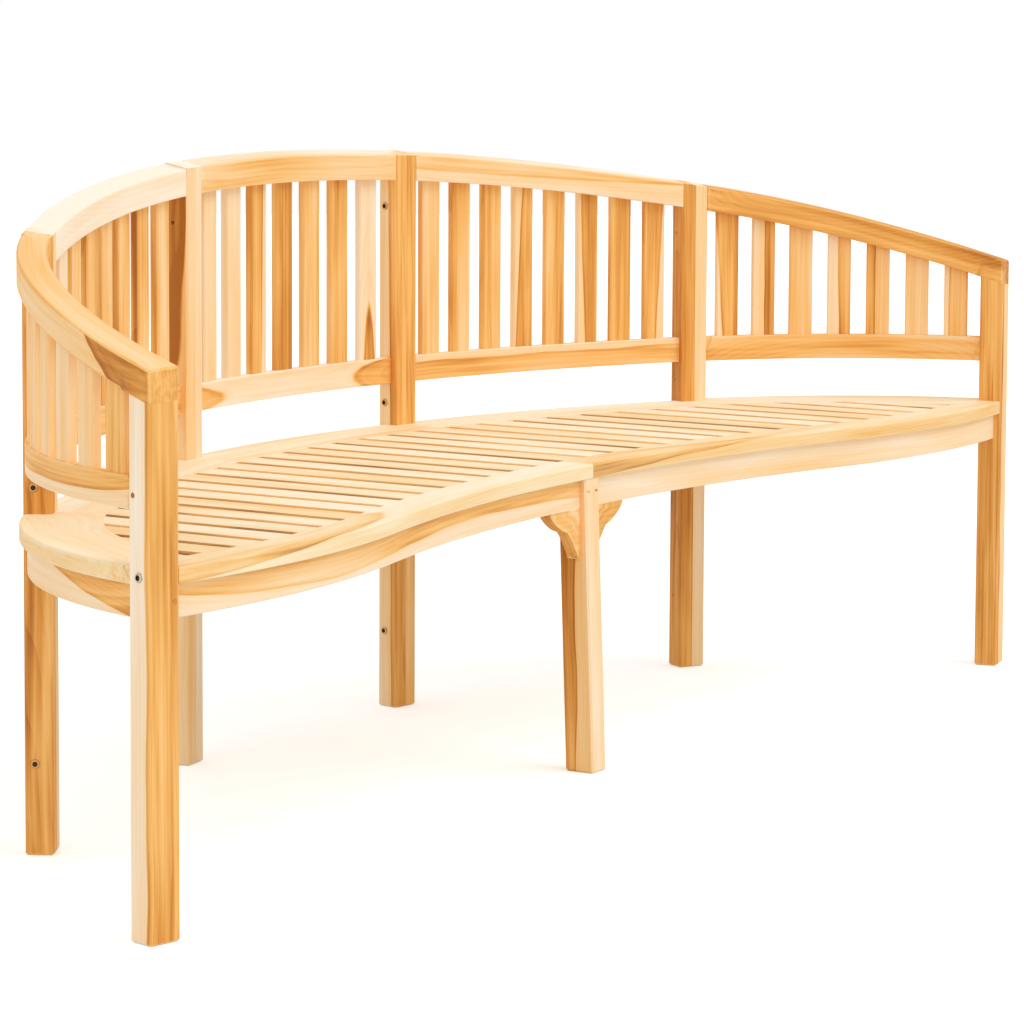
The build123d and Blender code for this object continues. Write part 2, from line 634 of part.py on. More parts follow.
def bearer(x):
    """A bearer under the batten, from the front of the seat to the back apron."""
    half = BEARER_WIDTH / 2
    inner = BACK_RADIUS + BACK_APRON_SHIFT - APRON_THICKNESS / 2
    beam = block(Plane.XY, (x - half, x + half), (0, REACH), (BEARER_TOP - BEARER_HEIGHT, BEARER_TOP))
    return beam & bar(BACK_CENTRE, inner / 2, inner, -ARM_END, ARM_END, 0, SEAT_HEIGHT)


def middle_bearer():
    return bearer(0) - raked(Pos(0, LEG_BACK - BACK_Y / 2) * Rectangle(BACK_Y, BACK_Y))


def side_bearer():
    return bearer(BEARER_X) - front_bar(-BEARER_X, APRON_INSET + APRON_THICKNESS, 0, SEAT_HEIGHT)


def both(shapes):
    return list(shapes) + [mirrored(shape) for shape in shapes]


def build_nodes():
    nodes = {}

    def pair(name, shape):
        nodes[name + "_right"] = shape
        nodes[name + "_left"] = mirrored(shape)

    middle_angles = (-MIDDLE_POST_ANGLE, MIDDLE_POST_ANGLE)
    side_angles = (MIDDLE_POST_ANGLE, CORNER_POST_ANGLE)
    arm_angles = (ARM_START, ARM_END)
    middle_limits = ((MIDDLE_LEFT, HALF_WIDTH), (MIDDLE, -HALF_WIDTH))
    side_limits = ((MIDDLE, HALF_WIDTH), (CORNER_BACK, -HALF_WIDTH))
    arm_limits = ((CORNER_ARM, HALF_WIDTH), (FRONT, FRONT_BACK_FACE))

    under_back = below_back(0)
    under_arm = below_arm(0)
    middle_holes = link_holes(MIDDLE)
    corner_holes = link_holes(CORNER_ARM)
    pair("front_post", front_post())
    pair("corner_post_arm_half", half_post(CORNER_ARM, CORNER_SEAM, 1, under_arm, corner_holes))
    pair("corner_post_back_half", half_post(CORNER_BACK, CORNER_SEAM, -1, under_back, corner_holes))
    pair("back_post_side_half", half_post(MIDDLE, MIDDLE, 1, under_back, middle_holes))
    pair("back_post_middle_half", half_post(MIDDLE, MIDDLE, -1, under_back, middle_holes))
    nodes["middle_leg"] = middle_leg()

    nodes["top_rail_middle"] = back_top_rail(
        middle_angles, middle_limits, MIDDLE_SLAT_FRAMES, TOP_JOINTS["middle"]
    )
    pair("top_rail_side", back_top_rail(side_angles, side_limits, SIDE_SLAT_FRAMES, TOP_JOINTS["side"]))
    pair("arm_rail", arm_top_rail())

    back = (BACK_CENTRE, BACK_RADIUS)
    arm = (ARM_CENTRE, ARM_RADIUS)
    nodes["lower_rail_middle"] = lower_rail(
        *back, middle_angles, middle_limits, MIDDLE_SLAT_FRAMES, back_crest, LOWER_JOINTS["middle"]
    )
    pair(
        "lower_rail_side",
        lower_rail(*back, side_angles, side_limits, SIDE_SLAT_FRAMES, back_crest, LOWER_JOINTS["side"]),
    )
    low_arm_rail = lower_rail(*arm, arm_angles, arm_limits, ARM_SLAT_FRAMES, arm_crest, LOWER_JOINTS["arm"])
    pair("lower_rail_arm", low_arm_rail - side_pegs(PEG_PLAY))

    nodes["back_slats_middle"] = Compound([eased_slat(frame, back_crest) for frame in MIDDLE_SLAT_FRAMES])
    pair("back_slats_side", Compound([eased_slat(frame, back_crest) for frame in SIDE_SLAT_FRAMES]))
    pair("arm_slats", Compound([eased_slat(frame, arm_crest) for frame in ARM_SLAT_FRAMES]))

    groove = layer(seat_opening(SEAT_TONGUE + JOINT_PLAY), TONGUE_Z, SEAT_TONGUE_THICKNESS + 2 * JOINT_PLAY)
    pair("seat_front_rail", front_seat_rail(0) - groove - rail_screw_hole())
    pair("seat_end_rail", end_seat_rail(0) - groove)
    pair("seat_back_rail", side_seat_rail(0) - groove)
    nodes["seat_back_rail_middle"] = middle_seat_rail(0) - groove - mirrored(groove)
    pair("seat_slats", Compound(seat_slats(seat_opening(0))))

    pair("front_apron", front_apron())
    nodes["back_apron_middle"] = apron(
        *back, BACK_APRON_SHIFT, middle_angles, middle_limits, APRON_JOINTS["middle"]
    )
    pair("back_apron_side", apron(*back, BACK_APRON_SHIFT, side_angles, side_limits, APRON_JOINTS["side"]))
    pair("end_apron", apron(*arm, ARM_APRON_SHIFT, arm_angles, arm_limits, APRON_JOINTS["arm"]))
    pair("leg_bracket", leg_bracket())
    pair("seat_batten", seat_batten())
    pair("seat_bearer", side_bearer())
    nodes["seat_bearer_middle"] = middle_bearer()

    nodes["post_screws"] = Compound(both(link_screws(MIDDLE, -1) + link_screws(CORNER_ARM, 1)))
    nodes["seat_rail_screws"] = Compound(both([rail_screw()]))
    nodes["tenon_pegs"] = Compound(leg_pegs(0) + both(side_pegs(0)))
    return nodes


def centred(nodes):
    """Every node moved so that the frame's origin is the middle of the footprint on the ground."""
    boxes = [shape.bounding_box() for shape in nodes.values()]
    middle = (min(box.min.Y for box in boxes) + max(box.max.Y for box in boxes)) / 2
    return {name: Pos(0, -middle, 0) * shape for name, shape in nodes.items()}


os.makedirs("parts", exist_ok=True)
for node, shape in centred(build_nodes()).items():
    export_step(shape, "parts/" + node + ".step")
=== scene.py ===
# %% [markdown]
# # A curved slatted bench in new teak
# The real bench is about 110 boards of sanded, unfinished teak. Its shape is already fixed by the packed
# solids, so this lesson is about what makes it look like wood: each board gets its own place in a tree
# trunk, and one procedural material shows the growth rings that the board's faces cut through.
# The first cell loads the solids.

# %% Load the fixed frame
import random
from math import cos, pi, radians, sin
from typing import NamedTuple

import bmesh
import bpy
import numpy
from mathutils import Euler, Matrix, Vector
from mathutils.bvhtree import BVHTree


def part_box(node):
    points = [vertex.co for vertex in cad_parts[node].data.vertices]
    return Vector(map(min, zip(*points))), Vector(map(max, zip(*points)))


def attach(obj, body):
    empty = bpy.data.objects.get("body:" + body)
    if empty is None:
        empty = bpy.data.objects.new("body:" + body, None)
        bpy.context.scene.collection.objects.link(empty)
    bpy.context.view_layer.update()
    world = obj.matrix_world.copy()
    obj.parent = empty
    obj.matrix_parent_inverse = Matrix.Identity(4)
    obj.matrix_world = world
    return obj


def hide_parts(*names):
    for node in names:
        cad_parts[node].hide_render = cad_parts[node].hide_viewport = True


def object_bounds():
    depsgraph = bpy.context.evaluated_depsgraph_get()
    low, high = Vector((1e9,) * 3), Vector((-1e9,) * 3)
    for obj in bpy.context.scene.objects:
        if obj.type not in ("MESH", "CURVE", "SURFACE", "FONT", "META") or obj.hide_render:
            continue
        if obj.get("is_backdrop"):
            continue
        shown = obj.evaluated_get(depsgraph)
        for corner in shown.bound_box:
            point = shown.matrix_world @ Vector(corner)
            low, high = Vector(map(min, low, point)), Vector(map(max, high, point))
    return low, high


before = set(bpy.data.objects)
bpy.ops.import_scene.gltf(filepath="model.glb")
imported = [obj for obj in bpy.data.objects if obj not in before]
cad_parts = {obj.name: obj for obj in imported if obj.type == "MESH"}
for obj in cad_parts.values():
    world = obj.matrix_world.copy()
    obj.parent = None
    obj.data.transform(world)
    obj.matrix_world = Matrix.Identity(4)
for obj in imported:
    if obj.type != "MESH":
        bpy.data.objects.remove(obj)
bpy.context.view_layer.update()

# %% [markdown]
# ## Camera
# The photograph was taken with a long lens from the left front, a little above the top rail. The camera's
# place and turn were found by fitting the corners and edges of the bench. A camera that looks down makes
# posts lean towards each other at their feet, and in the photograph they hardly do, because the picture
# window was moved down behind the lens: that is the shift. It goes with the camera when the bench is seen
# from other sides, so only a little of it is used here, and the tilt of the camera does the rest.
# Blender's camera looks down its own -Z, so a tilt of 90 degrees makes it look at the horizon, and the last
# small turn about its own axis is the tilt of the photographer's hand.

# %% Camera
CAMERA_PLACE = Vector((-4.5964, -2.9810, 1.0923))
CAMERA_HEADING = 32.253
CAMERA_PITCH = -5.361
CAMERA_ROLL = 0.281
LENS = 134.44
SENSOR = 36.0
WINDOW_DROP = 0.15
FARTHEST = 200.0
QUARTER_TURN = 90

lens = bpy.data.cameras.new("bench_camera")
lens.lens = LENS
lens.sensor_width = SENSOR
lens.shift_y = -WINDOW_DROP
lens.clip_end = FARTHEST
camera = bpy.data.objects.new("bench_camera", lens)
tilt, heading = radians(QUARTER_TURN + CAMERA_PITCH), radians(CAMERA_HEADING - QUARTER_TURN)
turn = Euler((tilt, 0, heading)).to_matrix()
roll = Matrix.Rotation(radians(CAMERA_ROLL), 3, "Z")
camera.matrix_world = Matrix.Translation(CAMERA_PLACE) @ (turn @ roll).to_4x4()
bpy.context.scene.collection.objects.link(camera)
bpy.context.scene.camera = camera
bpy.context.scene.view_settings.view_transform = "Standard"
print("camera distance:", round(CAMERA_PLACE.length, 2), "m")

# %% [markdown]
# ## Floor, sky and lamps
# The bench stands on a plain white sweep. A big disc takes the soft shadow, and the sky is white for rays
# that the camera or a shiny surface sends, but dimmer for the light that falls on the wood. Sun lamps with a
# wide angle stand for soft boxes: their light is even over the whole bench, however long it is.

# %% Colour and node helpers
SCREEN_WHITE = 255
TOE_END = 0.04045
TOE_SLOPE = 12.92
CURVE_OFFSET = 0.055
CURVE_POWER = 2.4


def paint(red, green, blue):
    """A colour given as on a screen, 0 to 255, turned into the linear values that Blender mixes light in."""
    linear = []
    for level in (red, green, blue):
        share = level / SCREEN_WHITE
        curve = ((share + CURVE_OFFSET) / (1 + CURVE_OFFSET)) ** CURVE_POWER
        linear.append(share / TOE_SLOPE if share <= TOE_END else curve)
    return (*linear, 1.0)


def feed(tree, socket, value):
    """Links a value into a socket, or sets it there if it is a plain number, vector or colour."""
    if isinstance(value, bpy.types.NodeSocket):
        tree.links.new(value, socket)
    else:
        socket.default_value = value


def math(tree, operation, *values):
    """A sum, product or other calculation with up to three values."""
    node = tree.nodes.new("ShaderNodeMath")
    node.operation = operation
    for socket, value in zip(node.inputs, values):
        feed(tree, socket, value)
    return node.outputs[0]


def seen_directly(tree):
    """1 for rays from the camera, a shiny surface or a clear one, and 0 for light that falls on the wood."""
    rays = tree.nodes.new("ShaderNodeLightPath").outputs
    seen = math(tree, "MAXIMUM", rays["Is Camera Ray"], rays["Is Glossy Ray"])
    return math(tree, "MAXIMUM", seen, rays["Is Transmission Ray"])


# %% Sky
SKY_LIGHT = 0.74
WHITE = (1.0, 1.0, 1.0, 1.0)

world = bpy.data.worlds.new("white_sweep")
world.use_nodes = True
sky = world.node_tree
background = sky.nodes["Background"]
background.inputs["Color"].default_value = WHITE
brightness = math(sky, "MULTIPLY_ADD", seen_directly(sky), 1 - SKY_LIGHT, SKY_LIGHT)
sky.links.new(brightness, background.inputs["Strength"])
bpy.context.scene.world = world
print("sky light on the wood:", SKY_LIGHT)

# %% Floor
FLOOR_RADIUS = 14.0
FLOOR_SIDES = 96
FLOOR_TONE = (0.86, 0.86, 0.86, 1.0)
FLOOR_LIFT = 0.40

floor_mesh = bpy.data.meshes.new("floor")
disc = bmesh.new()
bmesh.ops.create_circle(disc, cap_ends=True, radius=FLOOR_RADIUS, segments=FLOOR_SIDES)
disc.to_mesh(floor_mesh)
disc.free()
floor = bpy.data.objects.new("floor", floor_mesh)
bpy.context.scene.collection.objects.link(floor)

sweep = bpy.data.materials.new("white_floor")
sweep.use_nodes = True
tree = sweep.node_tree
matt = tree.nodes["Principled BSDF"]
matt.inputs["Base Color"].default_value = FLOOR_TONE
matt.inputs["Roughness"].default_value = 1.0
matt.inputs["Specular IOR Level"].default_value = 0.0
matt.inputs["Emission Color"].default_value = WHITE
tree.links.new(math(tree, "MULTIPLY", seen_directly(tree), FLOOR_LIFT), matt.inputs["Emission Strength"])
floor_mesh.materials.append(sweep)
floor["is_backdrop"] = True
print("floor disc:", FLOOR_RADIUS, "m")

# %% Lamps
def soft_box(name, heading, height, strength, softness, colour):
    """A sun lamp that shines from a heading (degrees, from +X towards +Y) and a height above the floor."""
    lamp = bpy.data.lights.new(name, "SUN")
    lamp.energy = strength
    lamp.angle = radians(softness)
    lamp.color = colour
    holder = bpy.data.objects.new(name, lamp)
    holder.rotation_euler = Euler((radians(QUARTER_TURN - height), 0, radians(heading + QUARTER_TURN)))
    bpy.context.scene.collection.objects.link(holder)
    print("lamp", name, "strength", strength)


soft_box("key", heading=-75, height=48, strength=0.86, softness=40, colour=(1.0, 0.98, 0.95))
soft_box("fill", heading=-165, height=30, strength=0.45, softness=60, colour=(1.0, 0.98, 0.96))

# %% [markdown]
# ## Copies of the boards with eased edges
# A board that a joiner has planed and sanded has no knife-sharp corner, and the thin bright line along an
# eased corner is what tells the eye that it is wood and not card; here the lamps light the bevel, and the
# eased faces are also painted a little paler as a painted highlight. The solids have square corners, so each
# node's mesh is copied, its triangles are joined back into flat faces, and its free corners are bevelled.
# A Bevel modifier would round the corners inside the joints too. So a corner is eased only where no other
# board lies against it: the search tree of every other node says how near the neighbours are.

# %% Neighbours of a point
EDGE_CLEAR = 0.0012
BOX_MARGIN = Vector((0.002, 0.002, 0.002))


def search_tree(name):
    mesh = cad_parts[name].data
    corners = [vertex.co.copy() for vertex in mesh.vertices]
    return BVHTree.FromPolygons(corners, [tuple(face.vertices) for face in mesh.polygons])


neighbours = {}
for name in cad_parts:
    low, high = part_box(name)
    neighbours[name] = (low - BOX_MARGIN, high + BOX_MARGIN, search_tree(name))


def touches_neighbour(name, point):
    for other, (low, high, surface) in neighbours.items():
        inside = all(low[i] <= point[i] <= high[i] for i in range(3))
        if other != name and inside and surface.find_nearest(point, EDGE_CLEAR)[0] is not None:
            return True
    return False


print("search trees:", len(neighbours))

# %% Copy a node and ease its free corners
WELD = 1e-6
FLAT = radians(0.1)
CORNER = radians(50)
SAMPLES = (0.05, 0.28, 0.5, 0.72, 0.95)
SHORTEST = 0.006
EASE_STEPS = 2
UPRIGHT_FACE = 0.3
FRONT_FACE = -0.5


def free_corner(name, edge):
    """A convex corner that no neighbouring board lies against."""
    if not edge.is_manifold or edge.calc_length() < SHORTEST or edge.calc_face_angle_signed() < CORNER:
        return False
    start = edge.verts[0].co
    run = edge.verts[1].co - start
    return not any(touches_neighbour(name, start + run * share) for share in SAMPLES)


def eased_copy(name, family):
    """A bmesh of a node's boards, with flat faces joined and free corners rounded. Its upright faces, its
    other faces, those not turned to the front and its corners can be painted deeper or paler than the wood
    itself (shade), mostly as painted shade on sides and in gaps and painted light on tops and corners, and its
    tops and front ends can lie outside the heart (sap)."""
    boards = bmesh.new()
    boards.from_mesh(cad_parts[name].data)
    bmesh.ops.remove_doubles(boards, verts=boards.verts, dist=WELD)
    bmesh.ops.dissolve_limit(boards, angle_limit=FLAT, verts=boards.verts, edges=boards.edges)
    corners = [edge for edge in boards.edges if free_corner(name, edge)]
    shade = boards.faces.layers.float.new("shade")
    sap = boards.faces.layers.float.new("sap")
    # Each face's shade is painted light and shade: sides, tops and faces not turned to the front are painted
    # deeper or paler as light falls on them.
    for face in boards.faces:
        upright = abs(face.normal.z) < UPRIGHT_FACE
        off_front = face.normal.y > FRONT_FACE
        face[shade] = family.rough_sides if upright else family.top_shade
        face[sap] = 0.0 if upright and off_front else family.sap_top
        # faces not turned to the front get the family's value: painted shade where it is positive, a paler tone
        # where it is negative
        if off_front:
            face[shade] += family.off_front
    if corners and family.ease:
        made = bmesh.ops.bevel(
            boards, geom=corners, offset=family.ease, offset_type="OFFSET", segments=EASE_STEPS, profile=0.5,
            affect="EDGES", clamp_overlap=False,
        )
        # the bevelled corners get a painted highlight, and painted shade where the family sets them deeper
        for face in made["faces"]:
            face[shade] = family.eased_shade
            face[sap] = family.sap_top
    return boards


# %% [markdown]
# ## Where each board lay in the trunk
# A board's figure is a slice through a trunk: straight lines where the saw ran along the rings, flames and
# arches where it cut across them, and a pale band where it reached the sapwood under the bark. Painting that
# by hand on 110 boards would never look consistent round a corner. Instead each vertex gets its place in the
# trunk as an attribute: two distances across from the pith, and one along it. A curved rail is sawn from a
# straight plank, so its trunk is straight along the chord, and the flames at its ends come by themselves.

# %% Boards of a mesh and their own directions
UP = Vector((0, 0, 1))
SQUARE = 0.2


def loose_boards(mesh):
    """The separate boards in a bmesh, from left to right."""
    left = set(mesh.verts)
    boards = []
    while left:
        reached = [left.pop()]
        for vertex in reached:
            for edge in vertex.link_edges:
                other = edge.other_vert(vertex)
                if other in left:
                    left.remove(other)
                    reached.append(other)
        boards.append(reached)
    return sorted(boards, key=lambda board: sum(v.co.x for v in board) / len(board))


def chord_direction(points, centre):
    """The horizontal direction in which a board is longest: to the right, or to the back if it lies so."""
    xx = sum((p.x - centre.x) ** 2 for p in points)
    yy = sum((p.y - centre.y) ** 2 for p in points)
    xy = sum((p.x - centre.x) * (p.y - centre.y) for p in points)
    half = Vector((xx - yy, 2 * xy))
    angle = half.angle_signed(Vector((1, 0))) / 2 if half.length else 0.0
    chord = Vector((cos(angle), sin(angle), 0))
    forward = chord.y > 0 if abs(chord.x) < SQUARE else chord.x > 0
    return chord if forward else -chord


def plank_frame(points, upright):
    """A board's middle and its directions along, across and through; upright boards run along Z."""
    low = Vector(min(p[i] for p in points) for i in range(3))
    high = Vector(max(p[i] for p in points) for i in range(3))
    centre = (low + high) / 2
    chord = chord_direction(points, centre)
    if upright:
        return centre, UP, chord, UP.cross(chord)
    return centre, chord, UP, chord.cross(UP)


# %% Trunks
MM_PER_M = 1000
SAP_TONE = 0.2


class Trunk:
    """Where a board was sawn: the pith's place across and through the board (mm from its middle), how the
    pith leans along it (mm per metre), the radius where the sapwood starts (mm), and how deep the colours of
    heartwood and sapwood are, from 0 for cream to 1 for brown."""

    def __init__(self, across, through, lean_across, lean_through, heart, tone, pale=SAP_TONE):
        self.pith = (across / MM_PER_M, through / MM_PER_M)
        self.lean = (lean_across / MM_PER_M, lean_through / MM_PER_M)
        self.heart = heart / MM_PER_M
        self.tone = tone
        self.pale = pale


# %% Ways to saw a board
ALL_HEART = 900
HALF_TRUNK = 120
SIDES = (-1, 1)
PITH_AWAY = (40, 120)
PITH_DEPTH = (-80, 80)
LEAN_ACROSS = (-55, 55)
LEAN_THROUGH = (-40, 40)
BARK_AWAY = (90, 160)
BARK_LEAN = (-20, 20)
sawyer = random.Random(11)


def plain(tone):
    """A board from well inside the heart, with nearly straight lines."""
    across = sawyer.choice(SIDES) * sawyer.uniform(*PITH_AWAY)
    lean = sawyer.uniform(*LEAN_ACROSS)
    return Trunk(across, sawyer.uniform(*PITH_DEPTH), lean, sawyer.uniform(*LEAN_THROUGH), ALL_HEART, tone)


def cream(pale):
    """A board from the sapwood only."""
    across, through = sawyer.uniform(*BARK_AWAY), sawyer.uniform(*PITH_DEPTH)
    return Trunk(across, through, sawyer.uniform(*BARK_LEAN), 0, 0, pale, pale)


def parted(edge, slope, side, tone, pale):
    """A board with the heart's edge running along it: its place across, its slope, the side the heart is on."""
    return Trunk(edge + side * HALF_TRUNK, 0, slope, 0, HALF_TRUNK, tone, pale)


# %% Boards left to chance
CHANCE_AWAY = (40, 110)
CHANCE_DEPTH = (-90, 90)
CHANCE_LEAN_ACROSS = (-25, 25)
CHANCE_LEAN_THROUGH = (-30, 30)
CHANCE_SAP = (0.08, 0.22)
TONES = (0.4, 0.7)
HEARTS = (60, 200)


def chance_trunk(name, number, tone_range, heart_range):
    """A trunk for a board that shows nothing special: the same one in every run."""
    draw = random.Random(name + str(number))
    side = draw.choice(SIDES)
    return Trunk(
        side * draw.uniform(*CHANCE_AWAY), draw.uniform(*CHANCE_DEPTH), draw.uniform(*CHANCE_LEAN_ACROSS),
        draw.uniform(*CHANCE_LEAN_THROUGH), draw.uniform(*heart_range), draw.uniform(*tone_range),
        draw.uniform(*CHANCE_SAP),
    )


# %% [markdown]
# ## The boards that can be told apart
# On the real bench many boards have a figure of their own: a pale post face round the corner from an orange
# one, a slat with sapwood down one side, a lower rail with a flame at each end, an arm rail whose dark heart
# comes out on its outer face. They are set down here board by board, from left to right, as a sawyer would
# note them: plain heart, cream sapwood, the heart's edge running along the board, or the pith's own place.
# The boards that are not named get a trunk by chance.

# %% Known boards
KNOWN = {
    "front_post_left": [Trunk(60, -70, 0, 0, 97, 0.60, 0.16)],
    "front_post_right": [Trunk(-23, 100, 0, 0, 117, 0.68, 0.42)],
    "corner_post_arm_half_left": [plain(0.78)],
    "corner_post_back_half_left": [cream(0.34)],
    "back_post_side_half_left": [Trunk(-100, 10, 8, 0, 91, 0.80, 0.28)],
    "back_post_middle_half_left": [cream(0.16)],
    "back_post_middle_half_right": [Trunk(20, -75, 0, 8, 76, 0.62, 0.32)],
    "back_post_side_half_right": [plain(0.60)],
    "corner_post_back_half_right": [plain(0.80)],
    "corner_post_arm_half_right": [cream(0.31)],
    "middle_leg": [Trunk(60, 30, 8, 0, 62, 0.58, 0.27)],
    "leg_bracket_left": [plain(0.45)],
    "leg_bracket_right": [plain(0.58)],
    "top_rail_side_left": [cream(0.05)],
    "top_rail_middle": [plain(0.42)],
    "top_rail_side_right": [parted(2, -75, 1, 0.41, 0.25)],
    "arm_rail_right": [plain(0.76)],
    "arm_rail_left": [Trunk(157, -201, 867, -325, 108, 1.13, 0.66)],
    "lower_rail_arm_left": [Trunk(114, -55, 0, 40, 120, 0.58, 0.22)],
    "lower_rail_side_left": [plain(0.50)],
    "lower_rail_middle": [Trunk(-5, 40, 0, -12, 32, 0.60, 0.15)],
    "lower_rail_side_right": [parted(10, 0, -1, 0.54, 0.26)],
    "lower_rail_arm_right": [plain(0.53)],
    "arm_slats_left": [
        plain(0.60), cream(0.36), cream(0.33), plain(0.45), plain(0.48), plain(0.50), plain(0.52),
    ],
    "back_slats_side_left": [
        plain(0.50), cream(0.12), plain(0.42), plain(0.52), plain(0.46), plain(0.55), plain(0.50), plain(0.42),
    ],
    "back_slats_middle": [
        cream(0.30), cream(0.24), parted(8, 30, -1, 0.68, 0.25), plain(0.64), plain(0.48), plain(0.60),
        Trunk(2, 15, 0, 72, 18, 0.66, 0.16),
    ],
    "back_slats_side_right": [
        plain(0.44), plain(0.52), plain(0.60), parted(-10, 40, 1, 0.72, 0.30), plain(0.56),
        parted(-12, -45, 1, 0.68, 0.30), plain(0.64), parted(10, 50, -1, 0.66, 0.28),
    ],
    "arm_slats_right": [
        parted(-15, -60, 1, 0.66, 0.25), parted(-2, 0, 1, 0.76, 0.25), plain(0.50), parted(0, 0, 1, 0.70, 0.22),
        parted(-2, 0, -1, 0.72, 0.42), cream(0.38), parted(-12, 0, 1, 0.58, 0.20),
    ],
    "seat_end_rail_left": [cream(0.36)],
    "seat_front_rail_left": [Trunk(122, 3, 40, 0, 110, 0.56, 0.24)],
    "seat_front_rail_right": [Trunk(121, 40, 40, 0, 110, 0.54, 0.42)],
    "front_apron_left": [Trunk(100, 60, 0, 0, 115, 0.46, 0.20)],
    "front_apron_right": [cream(0.23)],
    "end_apron_left": [Trunk(138, -20, 167, 0, 121, 0.66, 0.26)],
}
print("boards set down by hand:", sum(len(boards) for boards in KNOWN.values()))


# %% Write the trunk places
CURVED_POINTS = 60
CURVE_DEGREE = 4


def straightened(runs, offsets):
    """Offsets from the board's own middle line, which bends with the board."""
    degree = CURVE_DEGREE if len(runs) > CURVED_POINTS else 1
    return numpy.array(offsets) - numpy.polyval(numpy.polyfit(runs, offsets, degree), runs)


def lay_in_trunk(mesh, name, upright, tone_range=TONES, heart_range=HEARTS):
    """Writes each vertex's place in its board's trunk and along its fibres, and the board's own values."""
    place = mesh.verts.layers.float_vector.new("trunk")
    grain = mesh.verts.layers.float_vector.new("grain")
    values = mesh.verts.layers.float_vector.new("board")
    seeds = mesh.verts.layers.float.new("seed")
    boards = loose_boards(mesh)
    chance = [chance_trunk(name, i, tone_range, heart_range) for i in range(len(boards))]
    known = KNOWN.get(name) or chance
    for number, (board, trunk) in enumerate(zip(boards, known, strict=True)):
        centre, along, across, through = plank_frame([v.co for v in board], upright)
        seed = random.Random(name + "seed" + str(number)).random()
        offsets = [v.co - centre for v in board]
        runs, acrosses, throughs = ([o.dot(way) for o in offsets] for way in (along, across, through))
        fibres = zip(straightened(runs, acrosses), straightened(runs, throughs))
        for vertex, run, x, y, fibre in zip(board, runs, acrosses, throughs, fibres):
            x -= trunk.pith[0] + trunk.lean[0] * run
            y -= trunk.pith[1] + trunk.lean[1] * run
            vertex[place] = (x, y, run)
            vertex[grain] = (*fibre, run)
            vertex[values] = (trunk.heart, trunk.tone, trunk.pale)
            vertex[seeds] = seed
    return len(boards)


# %% [markdown]
# ## Teak
# Fresh teak has cream sapwood, honey to orange-brown heartwood and, between them, a sharp wavy line. In the
# heart each year ends in a thin darker line. One material serves every board, because all that differs is in
# the attributes: the radius is worked out from the trunk place, and a slow noise makes the trunk less than
# round. Everything that happens in the wood then only changes one number, the depth of the colour, and a
# single colour ramp turns that number into teak; the face values add painted shade and painted light to it. The
# seat has a yellower ramp of its own, a painted light for the bright light on its top, and its deepest steps
# are the olive brown of the painted shade in the gaps between its slats.

# %% Node helpers for wood
SEED_STEP = (37.0, 51.0, 73.0)


class Grain(NamedTuple):
    """A noise drawn out along the fibres: its scales across and along them (per metre) and its detail."""
    across: float
    along: float
    detail: float


def noise(tree, vector, seed, grain):
    """A noise on drawn-out coordinates, moved by the board's seed so that no two boards match."""
    scaled = tree.nodes.new("ShaderNodeVectorMath")
    scaled.operation = "MULTIPLY"
    feed(tree, scaled.inputs[0], vector)
    scaled.inputs[1].default_value = (grain.across, grain.across, grain.along)
    moved = tree.nodes.new("ShaderNodeVectorMath")
    moved.operation = "MULTIPLY_ADD"
    feed(tree, moved.inputs[0], seed)
    moved.inputs[1].default_value = SEED_STEP
    feed(tree, moved.inputs[2], scaled.outputs[0])
    node = tree.nodes.new("ShaderNodeTexNoise")
    feed(tree, node.inputs["Vector"], moved.outputs[0])
    node.inputs["Scale"].default_value = 1.0
    node.inputs["Detail"].default_value = grain.detail
    return node.outputs[0]


def ramp(tree, value, low, high):
    """0 below low, 1 above high, and a smooth rise between."""
    node = tree.nodes.new("ShaderNodeMapRange")
    node.interpolation_type = "SMOOTHSTEP"
    feed(tree, node.inputs["Value"], value)
    node.inputs["From Min"].default_value = low
    node.inputs["From Max"].default_value = high
    return node.outputs[0]


def colour_ramp(tree, value, steps):
    """Turns a number into a colour, by steps of a place and the colour there."""
    node = tree.nodes.new("ShaderNodeValToRGB")
    while len(node.color_ramp.elements) < len(steps):
        node.color_ramp.elements.new(1.0)
    for element, (position, colour) in zip(node.color_ramp.elements, steps):
        element.position = position
        element.color = colour
    feed(tree, node.inputs[0], value)
    return node.outputs[0]


def attribute(tree, name):
    """A value that was written on the vertices or faces."""
    node = tree.nodes.new("ShaderNodeAttribute")
    node.attribute_name = name
    return node


def parts_of(tree, vector):
    """The three numbers of a vector."""
    node = tree.nodes.new("ShaderNodeSeparateXYZ")
    tree.links.new(vector, node.inputs[0])
    return node.outputs


# %% Rings, heart and rim
SLOW = Grain(9.0, 4.5, 1.0)
QUICK = Grain(45.0, 9.0, 2.0)
WANDER = 0.011
WOBBLE = 0.0035
BOUNDARY = 0.0009
RIM_WIDTH = 5 * BOUNDARY


def ring_radius(tree, grain, seed):
    """The distance from the pith, in a trunk that two noises make less than round."""
    across, through, _ = parts_of(tree, attribute(tree, "trunk").outputs["Vector"])
    squares = [math(tree, "MULTIPLY", offset, offset) for offset in (across, through)]
    round_radius = math(tree, "SQRT", math(tree, "ADD", *squares))
    wander = math(tree, "MULTIPLY_ADD", noise(tree, grain, seed, SLOW), WANDER, -WANDER / 2)
    wobble = math(tree, "MULTIPLY_ADD", noise(tree, grain, seed, QUICK), WOBBLE, -WOBBLE / 2)
    return math(tree, "ADD", math(tree, "ADD", round_radius, wander), wobble)


def heart_and_rim(tree, inside):
    """Where the heart is, and the darker rim just inside its edge; none on faces planed past the heart."""
    planed = math(tree, "SUBTRACT", 1.0, attribute(tree, "sap").outputs["Fac"])
    heart = math(tree, "MULTIPLY", ramp(tree, inside, -BOUNDARY, BOUNDARY), planed)
    outer = math(tree, "SUBTRACT", 1.0, ramp(tree, inside, BOUNDARY, RIM_WIDTH))
    return heart, math(tree, "MULTIPLY", heart, outer)


